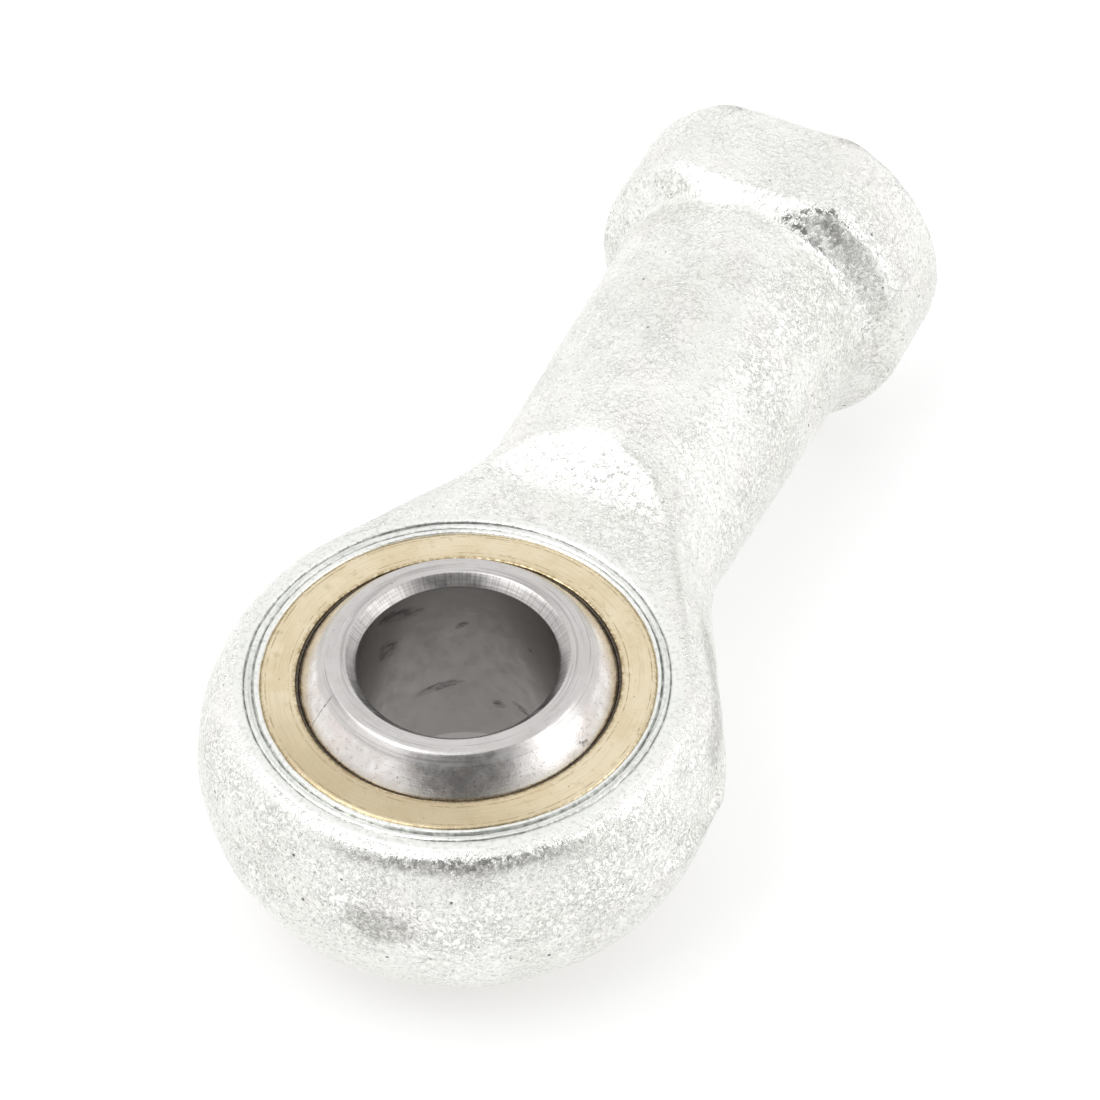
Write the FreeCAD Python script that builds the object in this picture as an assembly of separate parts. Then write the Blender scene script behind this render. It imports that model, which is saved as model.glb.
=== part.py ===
import FreeCAD, Part
import math
import os

# Rod end bearing, size 12, female thread, maintenance-free, dimension series K.
# Millimetres. The origin is the ball's centre. +Z is the ball's bore axis, and +Y runs along the
# shank towards the threaded mouth. Every solid is built in that frame.

V = FreeCAD.Vector

# Ball (inner ring)
BORE_R = 6.0  # bore for a 12 mm pin or bolt
BALL_R = 11.1125  # sphere of 22.225 mm diameter
BALL_HALF_WIDTH = 8.0  # the flat faces stand at z = +/-8
BORE_CHAMFER = 0.65
FACE_ROUND = 0.15  # small break where each flat face meets the sphere

# Sliding liner
BALL_CLEARANCE = 0.0375  # radial running clearance between ball and liner
LINER_THICKNESS = 0.16
LINER_HALF_WIDTH = 5.85

# Outer race
EYE_HALF_WIDTH = 6.0  # the eye's flat faces stand at z = +/-6
RACE_R = 12.75  # outside cylinder of the race
RACE_FACE_R = 11.7  # the race's outer chamfer ends here on the faces
RACE_CHAMFER_HEIGHT = 1.1
RACE_EDGE = 0.12  # break on the inner edge of each race face

# Housing, eye
EYE_R = 15.75  # largest radius, at the parting plane
FACE_R = 13.8  # radius where the flat face ends and the drafted side begins
RIM_ROUND = 0.8  # rounded rim between each flat face and the drafted side
STAKE_GROOVE_R = 12.15  # ring left in the lip by the staking tool
STAKE_GROOVE_HALF = 0.3
STAKE_GROOVE_DEPTH = 0.2
STAKE_LINE_R = 12.8  # thin second ring outside it
STAKE_LINE_HALF = 0.12
STAKE_LINE_DEPTH = 0.06

# Housing, neck and shank
NECK_Y = 18.1  # the neck's tapering flanks meet the shank here
SHANK_R_NECK = 8.1  # forged draft: the shank widens towards the collar
SHANK_R_COLLAR = 8.75
RAMP_START_Y = 16.6  # the eye's flat face ends here and ramps up to the shank
RAMP_ANGLE = 32.0

# Housing, collar: round, with two wrench flats facing +Z and -Z
SHANK_END_Y = 50.0  # ball centre to the shank's end face
COLLAR_LENGTH = 6.5
COLLAR_R = 10.8
ACROSS_FLATS = 19.0
FLAT_EDGE_ROUND = 0.6  # along the edges between the flats and the round
COLLAR_END_CHAMFER = 0.5
SHOULDER_LENGTH = 1.3  # hollow slope from the shank out to the collar

# Female thread M12 x 1.75, held as its core hole
THREAD_CORE_R = 5.1
THREAD_LENGTH = 22.0
DRILL_RUNOUT = 2.0
DRILL_POINT_ANGLE = 118.0
MOUTH_CHAMFER_R = 6.3


def revolved(points_rz, axis=V(0, 0, 1)):
    """Solid of revolution about Z from a closed outline in the XZ half plane."""
    wire = Part.makePolygon([V(r, 0, z) for r, z in points_rz] + [V(points_rz[0][0], 0, points_rz[0][1])])
    return Part.Face(wire).revolve(V(0, 0, 0), axis, 360)


def arc_through(a, b, c):
    return Part.Arc(a, b, c).toShape()


def line(a, b):
    return Part.LineSegment(a, b).toShape()


def drafted_section(at, face_r, middle_r):
    """Half section with flat faces, a bulging drafted side and rounded rims; at(r, z) places it."""
    bulge = ((middle_r - face_r) ** 2 + EYE_HALF_WIDTH ** 2) / (2 * (middle_r - face_r))
    centre_r = middle_r - bulge
    rim_z = EYE_HALF_WIDTH - RIM_ROUND
    rim_r = centre_r + math.sqrt((bulge - RIM_ROUND) ** 2 - rim_z ** 2)
    low_in = at(0, -EYE_HALF_WIDTH)
    high_in = at(0, EYE_HALF_WIDTH)
    side_angle = math.atan2(rim_z, rim_r - centre_r)
    half_angle = (side_angle + math.pi / 2) / 2
    on_side = (centre_r + bulge * math.cos(side_angle), bulge * math.sin(side_angle))
    on_rim = (rim_r + RIM_ROUND * math.cos(half_angle), rim_z + RIM_ROUND * math.sin(half_angle))
    low_rim = arc_through(at(rim_r, -EYE_HALF_WIDTH), at(on_rim[0], -on_rim[1]), at(on_side[0], -on_side[1]))
    side_arc = Part.Arc(at(on_side[0], -on_side[1]), at(middle_r, 0), at(on_side[0], on_side[1]))
    side = side_arc.toBSpline().toShape()
    high_rim = arc_through(at(on_side[0], on_side[1]), at(on_rim[0], on_rim[1]), at(rim_r, EYE_HALF_WIDTH))
    floor = line(low_in, at(rim_r, -EYE_HALF_WIDTH))
    roof = line(at(rim_r, EYE_HALF_WIDTH), high_in)
    return Part.Wire([floor, low_rim, side, high_rim, roof, line(high_in, low_in)])


def eye_section(direction):
    """Half section of the eye in the plane through Z and the given horizontal direction."""
    return drafted_section(lambda r, z: V(direction.x * r, direction.y * r, z), FACE_R, EYE_R)


def neck_section(side_sign):
    """Half section of the neck where it meets the shank, in the plane y = NECK_Y."""
    half = math.sqrt(SHANK_R_NECK ** 2 - EYE_HALF_WIDTH ** 2)
    return drafted_section(lambda x, z: V(side_sign * x, NECK_Y, z), half, SHANK_R_NECK)


def neck_wedge(side_sign):
    """Half of the tapering neck: flanks run straight from the eye's side, tangent to it."""
    reach = math.hypot(SHANK_R_NECK, NECK_Y)
    bearing = math.atan2(NECK_Y, SHANK_R_NECK) - math.acos(EYE_R / reach)
    direction = V(side_sign * math.cos(bearing), math.sin(bearing), 0)
    return Part.makeLoft([eye_section(direction), neck_section(side_sign)], True, True)


def cone_y(r_start, r_end, y_start, y_end):
    if abs(r_start - r_end) < 1e-9:
        return Part.makeCylinder(r_start, y_end - y_start, V(0, y_start, 0), V(0, 1, 0))
    return Part.makeCone(r_start, r_end, y_end - y_start, V(0, y_start, 0), V(0, 1, 0))


def ramp_block():
    """Keeps the eye's thickness near the ball, then opens out in a ramp on both faces."""
    far_y = SHANK_END_Y + 5
    top = EYE_HALF_WIDTH + 8
    ramp_end_y = RAMP_START_Y + (top - EYE_HALF_WIDTH) / math.tan(math.radians(RAMP_ANGLE))
    outline = [
        (-EYE_R - 5, EYE_HALF_WIDTH),
        (RAMP_START_Y, EYE_HALF_WIDTH),
        (ramp_end_y, top),
        (far_y, top),
        (far_y, -top),
        (ramp_end_y, -top),
        (RAMP_START_Y, -EYE_HALF_WIDTH),
        (-EYE_R - 5, -EYE_HALF_WIDTH),
    ]
    points = [V(-30, y, z) for y, z in outline]
    return Part.Face(Part.makePolygon(points + [points[0]])).extrude(V(60, 0, 0))


def collar():
    """Round collar with a hollow shoulder, a chamfered end and two wrench flats."""
    start_y = SHANK_END_Y - COLLAR_LENGTH
    over = COLLAR_R + 0.5
    foot = V(SHANK_R_COLLAR - 0.15, start_y - SHOULDER_LENGTH, 0)
    waist = V(SHANK_R_COLLAR + 0.15, start_y - 0.62 * SHOULDER_LENGTH, 0)
    hollow = V(SHANK_R_COLLAR + 0.75, start_y - 0.27 * SHOULDER_LENGTH, 0)
    brow = V(over, start_y + 0.12 * SHOULDER_LENGTH, 0)
    end_rim = V(over, SHANK_END_Y - COLLAR_END_CHAMFER - 0.5, 0)
    end_edge = V(COLLAR_R - COLLAR_END_CHAMFER, SHANK_END_Y, 0)
    end_axis = V(0, SHANK_END_Y, 0)
    foot_axis = V(0, foot.y, 0)
    outline = Part.Wire([
        line(foot_axis, foot),
        arc_through(foot, waist, hollow),
        line(hollow, brow),
        line(brow, end_rim),
        line(end_rim, end_edge),
        line(end_edge, end_axis),
        line(end_axis, foot_axis),
    ])
    turned = Part.Face(outline).revolve(V(0, 0, 0), V(0, 1, 0), 360)
    bar = cone_y(COLLAR_R, COLLAR_R, foot.y - 2, SHANK_END_Y + 2)
    bar = bar.common(Part.makeBox(40, 40, ACROSS_FLATS, V(-20, foot.y - 10, -ACROSS_FLATS / 2)))

    def flat_edge(edge):
        ends = [v.Point for v in edge.Vertexes]
        return abs(ends[0].y - ends[-1].y) > 3 and abs(abs(mid(edge).z) - ACROSS_FLATS / 2) < 1e-3

    bar = filleted(bar, FLAT_EDGE_ROUND, edges_where(bar, flat_edge), "wrench flat edges")
    return turned.common(bar)


def thread_core():
    """Blind core hole with a drill point and a countersunk mouth."""
    bottom_y = SHANK_END_Y - THREAD_LENGTH - DRILL_RUNOUT
    point = THREAD_CORE_R / math.tan(math.radians(DRILL_POINT_ANGLE / 2))
    mouth = MOUTH_CHAMFER_R - THREAD_CORE_R
    outline = [
        (0, bottom_y - point),
        (THREAD_CORE_R, bottom_y),
        (THREAD_CORE_R, SHANK_END_Y - mouth),
        (MOUTH_CHAMFER_R, SHANK_END_Y),
        (MOUTH_CHAMFER_R, SHANK_END_Y + 1),
        (0, SHANK_END_Y + 1),
    ]
    points = [V(r, y, 0) for r, y in outline]
    return Part.Face(Part.makePolygon(points + [points[0]])).revolve(V(0, 0, 0), V(0, 1, 0), 360)


def race_seat():
    """The space the race fills in the eye, with the lips staked over its chamfers."""
    z_straight = EYE_HALF_WIDTH - RACE_CHAMFER_HEIGHT
    return revolved([
        (0, -EYE_HALF_WIDTH - 1),
        (RACE_FACE_R, -EYE_HALF_WIDTH - 1),
        (RACE_FACE_R, -EYE_HALF_WIDTH),
        (RACE_R, -z_straight),
        (RACE_R, z_straight),
        (RACE_FACE_R, EYE_HALF_WIDTH),
        (RACE_FACE_R, EYE_HALF_WIDTH + 1),
        (0, EYE_HALF_WIDTH + 1),
    ])


def face_groove(radius, half, depth, sign):
    """Shallow V ring cut in one flat face of the eye."""
    z = sign * EYE_HALF_WIDTH
    proud = sign * 0.05
    over = half * (1 + 0.05 / depth)
    return revolved([
        (radius - over, z + proud),
        (radius, z - sign * depth),
        (radius + over, z + proud),
    ])


def edges_where(shape, test):
    return [edge for edge in shape.Edges if test(edge)]


def mid(edge):
    return edge.valueAt((edge.FirstParameter + edge.LastParameter) / 2)


def filleted(shape, radius, edges, name):
    """Fillets the edges if the result is one valid solid, and otherwise leaves them sharp."""
    if not edges:
        print("no edges for", name)
        return shape
    try:
        result = shape.makeFillet(radius, edges)
        if result.isValid() and len(result.Solids) == 1 and result.Volume > 0:
            return result.Solids[0]
        print("fillet gives a bad shape:", name)
    except Exception as problem:
        print("fillet failed:", name, problem)
    return shape


def rod_end_body():
    eye = Part.Face(eye_section(V(1, 0, 0))).revolve(V(0, 0, 0), V(0, 0, 1), 360)
    root = cone_y(SHANK_R_NECK, SHANK_R_NECK, 4.0, NECK_Y)
    shank = cone_y(SHANK_R_NECK, SHANK_R_COLLAR, NECK_Y, SHANK_END_Y - COLLAR_LENGTH)
    stem = root.fuse(shank).common(ramp_block())
    blank = eye.fuse([neck_wedge(1), neck_wedge(-1), stem, collar()]).removeSplitter()
    cuts = [race_seat(), thread_core()]
    for sign in (1, -1):
        cuts.append(face_groove(STAKE_GROOVE_R, STAKE_GROOVE_HALF, STAKE_GROOVE_DEPTH, sign))
        cuts.append(face_groove(STAKE_LINE_R, STAKE_LINE_HALF, STAKE_LINE_DEPTH, sign))
    return blank.cut(cuts).removeSplitter()


def outer_race():
    z_straight = EYE_HALF_WIDTH - RACE_CHAMFER_HEIGHT
    ring = revolved([
        (0, -EYE_HALF_WIDTH),
        (RACE_FACE_R, -EYE_HALF_WIDTH),
        (RACE_R, -z_straight),
        (RACE_R, z_straight),
        (RACE_FACE_R, EYE_HALF_WIDTH),
        (0, EYE_HALF_WIDTH),
    ])
    inside_r = BALL_R + BALL_CLEARANCE + LINER_THICKNESS
    ring = ring.cut(Part.makeSphere(inside_r))
    mouth_r = math.sqrt(inside_r ** 2 - EYE_HALF_WIDTH ** 2)
    for sign in (1, -1):
        z = sign * EYE_HALF_WIDTH
        ring = ring.cut(revolved([
            (0, z + sign),
            (mouth_r + RACE_EDGE + 1, z + sign),
            (mouth_r + RACE_EDGE, z),
            (mouth_r - 1, z - sign * (RACE_EDGE + 1)),
            (0, z - sign * (RACE_EDGE + 1)),
        ]))
    return ring


def ptfe_liner():
    inside_r = BALL_R + BALL_CLEARANCE
    slab = Part.makeCylinder(20, 2 * LINER_HALF_WIDTH, V(0, 0, -LINER_HALF_WIDTH))
    return Part.makeSphere(inside_r + LINER_THICKNESS).cut(Part.makeSphere(inside_r)).common(slab)


def ball():
    slab = Part.makeCylinder(20, 2 * BALL_HALF_WIDTH, V(0, 0, -BALL_HALF_WIDTH))
    body = Part.makeSphere(BALL_R).common(slab)
    z_wall = BALL_HALF_WIDTH - BORE_CHAMFER
    r_mouth = BORE_R + BORE_CHAMFER
    bore = revolved([
        (0, -BALL_HALF_WIDTH - 1),
        (r_mouth, -BALL_HALF_WIDTH - 1),
        (r_mouth, -BALL_HALF_WIDTH),
        (BORE_R, -z_wall),
        (BORE_R, z_wall),
        (r_mouth, BALL_HALF_WIDTH),
        (r_mouth, BALL_HALF_WIDTH + 1),
        (0, BALL_HALF_WIDTH + 1),
    ])
    body = body.cut(bore)
    face_r = math.sqrt(BALL_R ** 2 - BALL_HALF_WIDTH ** 2)
    def outer_edge(edge):
        p = mid(edge)
        return abs(abs(p.z) - BALL_HALF_WIDTH) < 1e-3 and abs(math.hypot(p.x, p.y) - face_r) < 0.05
    return filleted(body, FACE_ROUND, edges_where(body, outer_edge), "ball face edges")


os.makedirs("parts", exist_ok=True)
NODES = {
    "rod_end_body": rod_end_body,
    "outer_race": outer_race,
    "ptfe_liner": ptfe_liner,
    "ball": ball,
}
for name, build in NODES.items():
    shape = build()
    solid = shape.Solids[0] if len(shape.Solids) == 1 else shape
    box = solid.optimalBoundingBox()
    print(name, "solids", len(shape.Solids), "valid", solid.isValid(), "volume", round(solid.Volume, 1))
    print("   x", round(box.XMin, 2), round(box.XMax, 2), "y", round(box.YMin, 2), round(box.YMax, 2),
          "z", round(box.ZMin, 2), round(box.ZMax, 2))
    solid.exportStep("parts/" + name + ".step")
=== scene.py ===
import math

import bpy
import numpy as np
from mathutils import Matrix, Vector


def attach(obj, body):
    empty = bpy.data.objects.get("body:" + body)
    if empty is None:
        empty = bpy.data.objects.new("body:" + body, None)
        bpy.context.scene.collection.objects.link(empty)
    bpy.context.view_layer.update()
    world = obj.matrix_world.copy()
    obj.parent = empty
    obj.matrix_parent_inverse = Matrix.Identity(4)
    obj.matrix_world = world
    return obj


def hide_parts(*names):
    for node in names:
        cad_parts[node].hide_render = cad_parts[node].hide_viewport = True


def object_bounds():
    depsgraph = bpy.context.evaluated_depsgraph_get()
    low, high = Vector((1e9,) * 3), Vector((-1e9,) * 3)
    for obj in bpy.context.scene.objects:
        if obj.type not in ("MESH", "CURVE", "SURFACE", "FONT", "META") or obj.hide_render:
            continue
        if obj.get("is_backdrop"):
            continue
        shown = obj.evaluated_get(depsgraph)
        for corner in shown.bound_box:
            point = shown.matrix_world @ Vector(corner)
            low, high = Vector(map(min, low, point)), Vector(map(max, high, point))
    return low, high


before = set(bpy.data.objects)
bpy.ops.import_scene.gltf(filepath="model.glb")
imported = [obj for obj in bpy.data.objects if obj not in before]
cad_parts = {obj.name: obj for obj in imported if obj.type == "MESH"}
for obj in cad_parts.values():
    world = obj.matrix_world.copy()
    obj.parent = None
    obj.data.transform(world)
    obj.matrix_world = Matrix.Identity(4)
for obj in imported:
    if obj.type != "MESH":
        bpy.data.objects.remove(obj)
cad_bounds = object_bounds()

MM = 0.001

# ---------------------------------------------------------------- sizes of the real object, in mm
EYE_HALF = 6.0  # half thickness of the eye
EYE_R = 15.75  # largest radius of the eye, at its parting plane
FACE_R = 13.8  # radius where the flat face gives way to the drafted side
RIM_ROUND = 0.42  # softness of the edge between them
LIP_R = 12.9  # outer limit of the staked band on the faces
NECK_Y = 18.1  # the neck's flanks meet the shank here
NECK_R = 8.1  # shank radius there
RAMP_Y = 16.6  # the flat face starts to rise to the shank here
RAMP_SLOPE = math.tan(math.radians(32.0))
SHANK_R = 8.75  # shank radius at the collar
COLLAR_Y = 43.5
COLLAR_R = 10.8
FLAT_Z = 9.5  # half of the width across the wrench flats
END_Y = 50.0
THREAD_CORE = 5.1
THREAD_MAJOR = 6.0
THREAD_PLAY = 0.12  # the housing's hole stands back this far behind the thread
THREAD_START = 27.6
PITCH = 1.75
DRILL_END = 26.0
MOUTH_R = 6.35  # countersink at the thread's mouth
FLASH_PROUD = 0.45
FLASH_TRIM = 0.27  # what is left of the flash where it has been ground off
FLASH_HALF = 0.42
STAKE_IN = 12.13  # rings pressed by the staking tool
STAKE_OUT = 12.62
STAKE_SHIFT = 0.10  # the tool sat off centre by this much
RACE_SPHERE_R = 11.31
LINER_INSIDE_R = 11.15
LINER_HALF = 5.85
BALL_R = 11.1125
BALL_HALF = 8.0
BORE_R = 6.0
BORE_CHAMFER = 0.65
FACE_BREAK = 0.16
FLOOR_Z = -9.75
HOUSING_STEP = 0.27  # cell size of the housing's mesh


# ---------------------------------------------------------------- noise for real surface relief
def hashed(ix, iy, iz, seed):
    n = ix * 374761393 + iy * 668265263 + iz * 1274126177 + seed * 2246822519
    n = n & 0xFFFFFFFF
    n = ((n ^ (n >> 13)) * 1274126177) & 0xFFFFFFFF
    n = n ^ (n >> 16)
    return (n & 0xFFFFFF) / float(0xFFFFFF) * 2.0 - 1.0


def noise(p, size, seed):
    """Smooth value noise in -1..1 at points p, with cells of the given size."""
    q = p / size + 512.5
    cell = np.floor(q).astype(np.int64)
    f = q - cell
    f = f * f * f * (f * (f * 6 - 15) + 10)
    total = 0.0
    for dx in (0, 1):
        wx = f[:, 0] if dx else 1 - f[:, 0]
        for dy in (0, 1):
            wy = f[:, 1] if dy else 1 - f[:, 1]
            for dz in (0, 1):
                wz = f[:, 2] if dz else 1 - f[:, 2]
                corner = hashed(cell[:, 0] + dx, cell[:, 1] + dy, cell[:, 2] + dz, seed)
                total = total + wx * wy * wz * corner
    return total


# ---------------------------------------------------------------- housing as a distance field
def smin(a, b, k):
    h = np.clip(0.5 + 0.5 * (b - a) / k, 0.0, 1.0)
    return b * (1 - h) + a * h - k * h * (1 - h)


def smax(a, b, k):
    return -smin(-a, -b, k)


def sides_and_faces(x, y, z):
    """Distances to the drafted sides of the housing, and to its flat faces with their ramps."""
    ax = np.abs(x)
    az = np.abs(z)
    r = np.hypot(x, y)
    rho = np.hypot(x, z)
    # eye: bulging drafted side
    sag = EYE_R - FACE_R
    bulge = (sag * sag + EYE_HALF ** 2) / (2 * sag)
    side = np.hypot(r - (EYE_R - bulge), z) - bulge
    # neck: flanks tangent to the eye, running to the shank
    reach = math.hypot(NECK_R, NECK_Y)
    bearing = math.atan2(NECK_Y, NECK_R) - math.acos(EYE_R / reach)
    nx, ny = math.cos(bearing), math.sin(bearing)
    along = -ax * ny + y * nx
    out = ax * nx + y * ny
    run = -NECK_R * ny + NECK_Y * nx
    sag_y = (NECK_R - math.sqrt(NECK_R ** 2 - EYE_HALF ** 2)) * nx
    depth = sag + np.clip(along / run, 0, 1) * (sag_y - sag)
    bulge_y = (depth * depth + EYE_HALF ** 2) / (2 * depth)
    flank = np.hypot(out - (EYE_R - bulge_y), z) - bulge_y
    wedge = np.maximum(np.maximum(flank, -along), y - NECK_Y - 0.6)
    side = np.minimum(side, wedge)
    # shank with its forging draft
    grow = (SHANK_R - NECK_R) / (COLLAR_Y - NECK_Y)
    shank = rho - (NECK_R + grow * np.clip(y - NECK_Y, 0, COLLAR_Y - NECK_Y))
    shank = np.maximum(np.maximum(shank, 4.0 - y), y - COLLAR_Y - 0.8)
    side = smin(side, shank, 1.5)
    # flat faces, opening in a ramp towards the shank
    slab = az - EYE_HALF
    ramp = (az - EYE_HALF - RAMP_SLOPE * (y - RAMP_Y)) / math.hypot(1, RAMP_SLOPE)
    cap = smin(slab, ramp, 0.4)
    return side, np.where(y > RAMP_Y + 12, -5.0, cap)


def housing_distance(x, y, z):
    """Signed distance, roughly, to the forged housing without its staked lips and thread."""
    az = np.abs(z)
    r = np.hypot(x, y)
    rho = np.hypot(x, z)
    body = smax(*sides_and_faces(x, y, z), RIM_ROUND)
    # flash left along the parting line on one side, trimmed to a flat
    flash_r = EYE_R + FLASH_PROUD - 0.14 * np.maximum(np.abs(y) - 2.2, 0)
    flash = smax(az - FLASH_HALF, r - flash_r, 0.25)
    flash = np.maximum(smax(flash, x - (EYE_R + FLASH_TRIM), 0.1), 14.0 - x)
    body = smin(body, flash, 0.35)
    # collar
    shoulder = (COLLAR_Y - y) * 0.75 + (rho - COLLAR_R) * 0.66
    under_flat = (az - FLAT_Z) * 0.866 + (COLLAR_Y - 0.4 - y) * 0.5
    collar = smax(rho - COLLAR_R, az - FLAT_Z, 0.4)
    collar = smax(smax(collar, shoulder, 0.45), under_flat, 0.2)
    end = smax(y - END_Y, (y - END_Y + rho - (COLLAR_R - 0.5)) * 0.7071, 0.3)
    collar = smax(collar, end, 0.25)
    body = smin(body, collar, 0.55)
    # space for race and lips, blind hole with drill point and countersink
    body = np.maximum(body, LIP_R - r)
    hole = np.maximum(rho - (THREAD_MAJOR + THREAD_PLAY), DRILL_END + 0.1 - y)
    drill = np.maximum(rho - THREAD_CORE, (DRILL_END - y) * 0.857 + (rho - THREAD_CORE) * 0.515)
    mouth = (rho - MOUTH_R - (y - END_Y)) * 0.7071
    hole = np.minimum(np.minimum(hole, drill), np.maximum(mouth, END_Y - 1.0 - y))
    return np.maximum(body, -hole)


def surface_nets(step):
    """Quad mesh of the zero surface of housing_distance."""
    lo = np.array([-16.6, -16.6, -10.2])
    hi = np.array([16.6, 50.9, 10.2])
    shape = np.ceil((hi - lo) / step).astype(int) + 1
    axes = [(lo[i] + step * np.arange(shape[i])).astype(np.float32) for i in range(3)]
    d = np.empty(shape, np.float32)
    for start in range(0, shape[1], 32):
        part = slice(start, min(start + 32, shape[1]))
        grid = np.meshgrid(axes[0], axes[1][part], axes[2], indexing="ij")
        d[:, part, :] = housing_distance(*grid)
    inside = d < 0
    cells = [n - 1 for n in shape]
    count = np.zeros(cells, np.int8)
    for dx in (0, 1):
        for dy in (0, 1):
            for dz in (0, 1):
                count += inside[dx:dx + cells[0], dy:dy + cells[1], dz:dz + cells[2]]
    active = (count > 0) & (count < 8)
    index = np.full(cells, -1, np.int64)
    where = np.argwhere(active)
    index[active] = np.arange(len(where))
    total = np.zeros((len(where), 3))
    hits = np.zeros(len(where))
    for axis in range(3):
        others = [a for a in range(3) if a != axis]
        for da in (0, 1):
            for db in (0, 1):
                corner = where.copy()
                corner[:, others[0]] += da
                corner[:, others[1]] += db
                far = corner.copy()
                far[:, axis] += 1
                v0 = d[tuple(corner.T)].astype(float)
                v1 = d[tuple(far.T)].astype(float)
                cut = (v0 < 0) != (v1 < 0)
                t = np.where(cut, v0 / np.where(cut, v0 - v1, 1), 0)
                at = corner.astype(float)
                at[:, axis] += t
                total += at * cut[:, None]
                hits += cut
    points = lo + step * total / hits[:, None]
    quads = []
    for axis in range(3):
        a, b = [n for n in range(3) if n != axis]
        near = [slice(1, -1)] * 3
        near[axis] = slice(0, -1)
        far = [slice(1, -1)] * 3
        far[axis] = slice(1, None)
        s0 = inside[tuple(near)]
        s1 = inside[tuple(far)]
        offset = np.array([1, 1, 1])
        offset[axis] = 0
        for entering in (False, True):
            at = np.argwhere((s0 != s1) & (s0 == entering)) + offset
            around = []
            for da, db in ((-1, -1), (0, -1), (0, 0), (-1, 0)):
                c = at.copy()
                c[:, a] += da
                c[:, b] += db
                around.append(index[tuple(c.T)])
            q = np.stack(around, 1)
            turn = entering if axis != 1 else not entering
            quads.append(q if turn else q[:, ::-1])
    return points, np.concatenate(quads)


def gradient(p, eps=0.02):
    g = np.empty_like(p)
    for i in range(3):
        hi = p.copy()
        lo = p.copy()
        hi[:, i] += eps
        lo[:, i] -= eps
        g[:, i] = (housing_distance(*hi.T) - housing_distance(*lo.T)) / (2 * eps)
    return g


def relief(p, n):
    """How far the forged skin stands proud of the ideal surface, in mm."""
    rho = np.hypot(p[:, 0], p[:, 2])
    r = np.hypot(p[:, 0], p[:, 1])
    inside_hole = (rho < 6.6) & (p[:, 1] > 20) & (p[:, 1] < END_Y - 0.02)
    seat = (r < LIP_R + 0.25) & (np.abs(n[:, 2]) < 0.5)
    rough = 0.055 * noise(p, 7.0, 3) + 0.034 * noise(p, 2.6, 5)
    rough += 0.024 * noise(p, 1.3, 7) + 0.020 * noise(p, 0.75, 11)
    # trimmed parting line round the sides
    sideways = np.clip((0.55 - np.abs(n[:, 2])) / 0.4, 0, 1)
    width = 0.34 + 0.12 * noise(p, 3.0, 17)
    line = np.exp(-((p[:, 2] - 0.1 * noise(p, 5.0, 19)) / width) ** 2)
    rough += 0.07 * sideways * line * (0.8 + 0.5 * noise(p, 2.0, 23))
    # a few shallow dents
    for cx, cy, cz, size, depth in DENTS:
        far = np.sqrt((p[:, 0] - cx) ** 2 + (p[:, 1] - cy) ** 2 + (p[:, 2] - cz) ** 2)
        rough -= depth * np.exp(-(far / size) ** 2)
    fade = np.clip((r - LIP_R - 0.45) / 0.5, 0, 1)
    near_lip = np.abs(p[:, 2]) > EYE_HALF - 0.4
    rough = np.where(near_lip, rough * fade, rough)
    return np.where(inside_hole | seat, 0.0, rough)


# dents: centre, size, depth
DENTS = (
    (-5.2, -14.6, 1.5, 1.3, 0.10),
    (2.8, -14.9, -1.6, 1.0, 0.07),
    (14.6, -4.0, 1.2, 1.6, 0.12),
    (-12.5, 7.0, 3.0, 1.2, 0.06),
    (6.8, 30.0, 5.0, 1.6, 0.05),
    (-3.0, 36.0, 8.0, 1.8, 0.05),
)


def window(value, low, high, soft):
    """1 between low and high, fading to 0 over soft outside them."""
    return np.clip((value - low) / soft + 1, 0, 1) * np.clip((high - value) / soft + 1, 0, 1)


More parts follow.
